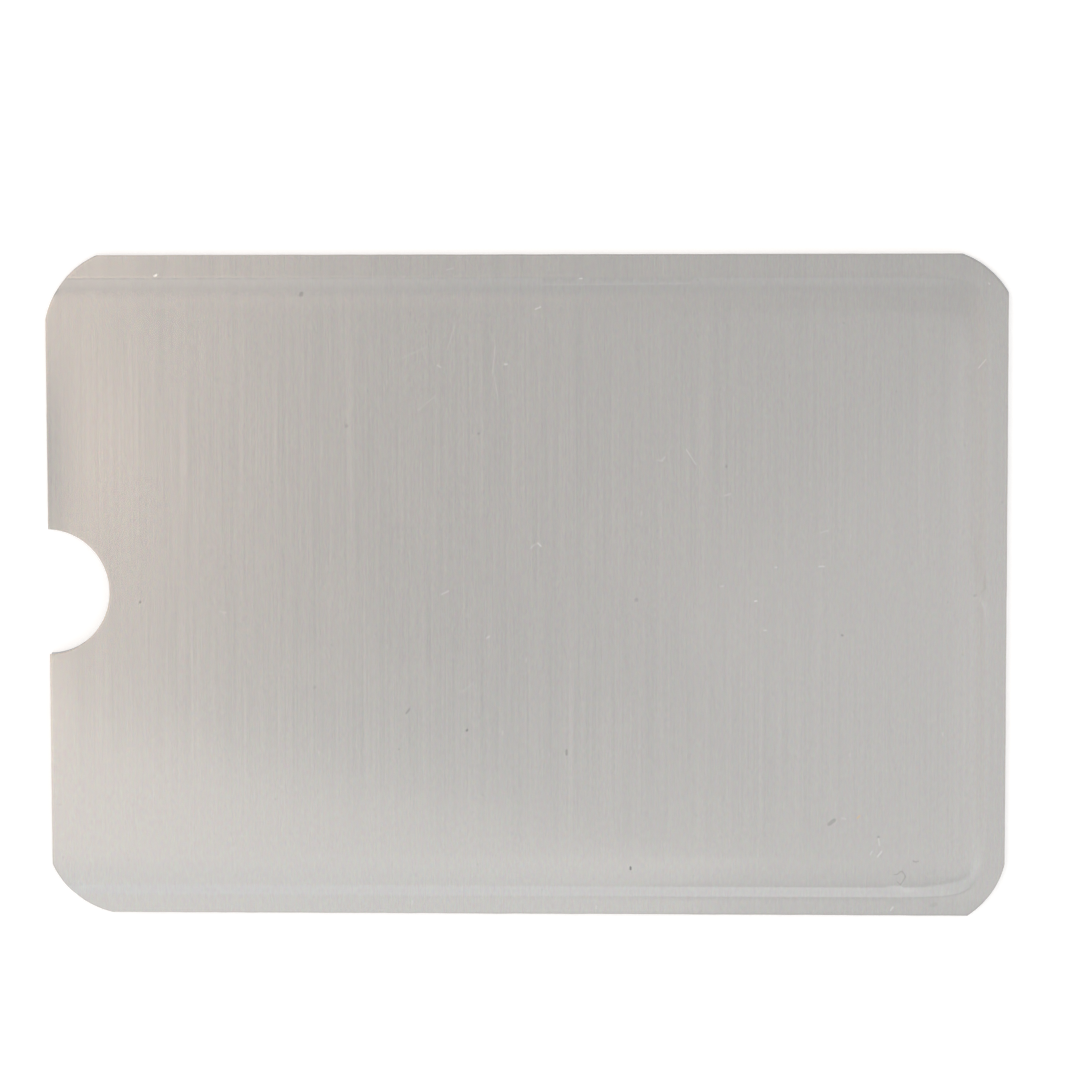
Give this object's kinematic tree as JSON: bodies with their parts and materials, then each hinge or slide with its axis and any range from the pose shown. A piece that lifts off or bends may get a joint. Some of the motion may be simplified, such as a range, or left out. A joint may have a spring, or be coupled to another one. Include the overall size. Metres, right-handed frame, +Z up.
{
  "type": "rfid card sleeve",
  "caption": "Flat shielding sleeve for a bank card: laminated foil walls heat-sealed on three sides, punched corners, open short end with a thumb notch.",
  "frame": {"origin": "on the surface that the sleeve lies on, under the middle of its box", "axes": "+X along the sleeve from the open mouth to the sealed end, +Y across it towards the upper side seam, +Z up through the front wall"},
  "size_m": [0.0914, 0.063, 0.0014],
  "materials": {
    "face_film": "metallised film with a fine satin brush along the sleeve's width",
    "foil": "bright rolled foil, seen only at the cut edges",
    "core": "uncoated white paper, seen only at the cut edges",
    "liner": "milky heat-seal film",
    "seal": "fused heat-seal film"
  },
  "bodies": {
    "root": {"front_face_film": "face_film", "front_foil": "foil", "front_core": "core", "front_liner": "liner", "back_face_film": "face_film", "back_foil": "foil", "back_core": "core", "back_liner": "liner", "upper_seal": "seal", "lower_seal": "seal", "end_seal": "seal"}
  },
  "joints": []
}
